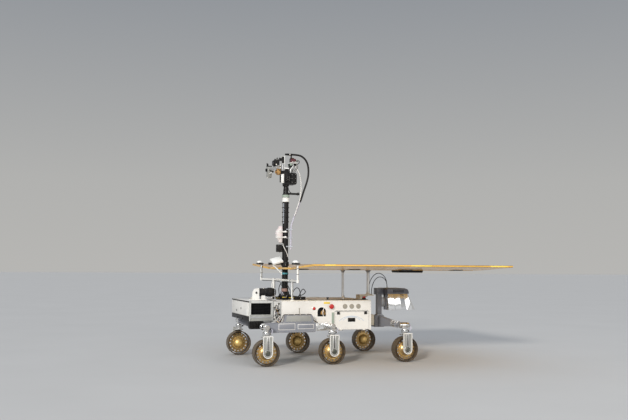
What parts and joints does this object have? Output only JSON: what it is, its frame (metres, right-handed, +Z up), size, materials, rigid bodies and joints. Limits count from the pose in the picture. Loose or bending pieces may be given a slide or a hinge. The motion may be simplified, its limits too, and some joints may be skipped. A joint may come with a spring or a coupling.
{
  "type": "six-wheeled planetary rover, field prototype",
  "caption": "Wheeled planetary rover with rocking bogies, steerable perforated metal wheels, boxy body, camera mast with pan-tilt head, deck antennas and a flat solar-array mock-up.",
  "frame": {"origin": "on the ground under the middle of the rover's box", "axes": "+X forward along the rover's length, +Y to its left, +Z up"},
  "size_m": [2.825, 2.4, 2.386],
  "materials": {
    "white_panel": "satin white paint, dusty",
    "bare_aluminium": "brushed",
    "polished_metal": "polished",
    "grey_paint": "satin",
    "black_metal": "satin black anodise",
    "gold_metal": "gold anodise",
    "amber_panel": "amber composite",
    "black_plastic": "matt",
    "cable_black": "smooth jacket",
    "cable_white": "smooth jacket",
    "wrap_fabric": "woven",
    "red_plastic": "gloss"
  },
  "bodies": {
    "root": {"body_shell": "bare_aluminium", "deck_plate": "white_panel", "side_panels": "white_panel", "battery_pack": "black_plastic", "side_controls": "red_plastic", "front_box": "bare_aluminium", "front_lower_box": "black_metal", "front_bulkhead": "bare_aluminium", "survey_camera": "black_metal", "camera_bracket": "white_panel", "front_legs": "polished_metal", "middle_legs": "polished_metal", "rear_legs": "polished_metal", "side_bogie_beams": "grey_paint", "side_bogie_links": "bare_aluminium", "rear_bogie_beam": "grey_paint", "mast_foot": "black_metal", "mast_tube": "black_metal", "mast_collar": "white_panel", "mast_pouch": "wrap_fabric", "mast_box": "black_plastic", "mast_clamps": "black_plastic", "rear_shelf": "white_panel", "mast_loom": "wrap_fabric", "mast_loop_cable": "cable_black", "mast_loop_cable_2": "cable_black", "antenna_frame": "white_panel", "panel_antenna": "white_panel", "array_centre_panel": "amber_panel", "array_left_wing": "amber_panel", "array_right_wing": "amber_panel", "array_brackets": "black_metal", "array_posts": "bare_aluminium", "rear_post": "bare_aluminium", "rear_hood": "polished_metal", "rear_hood_cap": "grey_paint", "rear_hoop_cable": "cable_black", "rear_hoop_cable_2": "cable_black"},
    "hatch": {"battery_hatch": "white_panel"},
    "pan": {"mast_neck": "black_metal", "pan_tilt_drive": "black_metal", "head_electronics": "black_plastic", "head_cable": "cable_black", "head_cable_2": "cable_white"},
    "tilt": {"camera_bench": "bare_aluminium", "stereo_cameras": "black_metal", "zoom_camera": "black_metal", "bench_sensors": "black_plastic"},
    "front_left_steer": {"front_left_fork": "bare_aluminium"},
    "front_left_roll": {"front_left_wheel": "gold_metal"},
    "front_right_steer": {"front_right_fork": "bare_aluminium"},
    "front_right_roll": {"front_right_wheel": "gold_metal"},
    "middle_left_steer": {"middle_left_fork": "bare_aluminium"},
    "middle_left_roll": {"middle_left_wheel": "gold_metal"},
    "middle_right_steer": {"middle_right_fork": "bare_aluminium"},
    "middle_right_roll": {"middle_right_wheel": "gold_metal"},
    "rear_left_steer": {"rear_left_fork": "bare_aluminium"},
    "rear_left_roll": {"rear_left_wheel": "gold_metal"},
    "rear_right_steer": {"rear_right_fork": "bare_aluminium"},
    "rear_right_roll": {"rear_right_wheel": "gold_metal"}
  },
  "joints": [
    {"name": "front_left_steering", "type": "hinge", "parent": "root", "child": "front_left_steer", "pos_m": [1.2685, 0.6, 0.34], "axis": [0, 0, 1], "range_deg": [-50, 50]},
    {"name": "front_left_drive", "type": "hinge", "parent": "front_left_steer", "child": "front_left_roll", "pos_m": [1.2685, 0.6, 0.1425], "axis": [0, 1, 0], "continuous": true},
    {"name": "front_right_steering", "type": "hinge", "parent": "root", "child": "front_right_steer", "pos_m": [1.2685, -0.6, 0.34], "axis": [0, 0, 1], "range_deg": [-50, 50]},
    {"name": "front_right_drive", "type": "hinge", "parent": "front_right_steer", "child": "front_right_roll", "pos_m": [1.2685, -0.6, 0.1425], "axis": [0, 1, 0], "continuous": true},
    {"name": "middle_left_steering", "type": "hinge", "parent": "root", "child": "middle_left_steer", "pos_m": [0.5145, 0.6, 0.34], "axis": [0, 0, 1], "range_deg": [-50, 50]},
    {"name": "middle_left_drive", "type": "hinge", "parent": "middle_left_steer", "child": "middle_left_roll", "pos_m": [0.5145, 0.6, 0.1425], "axis": [0, 1, 0], "continuous": true},
    {"name": "middle_right_steering", "type": "hinge", "parent": "root", "child": "middle_right_steer", "pos_m": [0.5145, -0.6, 0.34], "axis": [0, 0, 1], "range_deg": [-50, 50]},
    {"name": "middle_right_drive", "type": "hinge", "parent": "middle_right_steer", "child": "middle_right_roll", "pos_m": [0.5145, -0.6, 0.1425], "axis": [0, 1, 0], "continuous": true},
    {"name": "rear_left_steering", "type": "hinge", "parent": "root", "child": "rear_left_steer", "pos_m": [-0.3675, 0.6, 0.34], "axis": [0, 0, 1], "range_deg": [-50, 50]},
    {"name": "rear_left_drive", "type": "hinge", "parent": "rear_left_steer", "child": "rear_left_roll", "pos_m": [-0.3675, 0.6, 0.1425], "axis": [0, 1, 0], "continuous": true},
    {"name": "rear_right_steering", "type": "hinge", "parent": "root", "child": "rear_right_steer", "pos_m": [-0.3675, -0.6, 0.34], "axis": [0, 0, 1], "range_deg": [-50, 50]},
    {"name": "rear_right_drive", "type": "hinge", "parent": "rear_right_steer", "child": "rear_right_roll", "pos_m": [-0.3675, -0.6, 0.1425], "axis": [0, 1, 0], "continuous": true},
    {"name": "mast_pan", "type": "hinge", "parent": "root", "child": "pan", "pos_m": [0.8775, 0, 1.865], "axis": [0, 0, 1], "range_deg": [-160, 160]},
    {"name": "mast_tilt", "type": "hinge", "parent": "pan", "child": "tilt", "pos_m": [0.8775, 0, 2.085], "axis": [0, 1, 0], "range_deg": [-30, 60]},
    {"name": "battery_hatch_hinge", "type": "hinge", "parent": "root", "child": "hatch", "pos_m": [0.1955, 0.403, 0.352], "axis": [1, 0, 0], "range_deg": [-90, 0]}
  ]
}
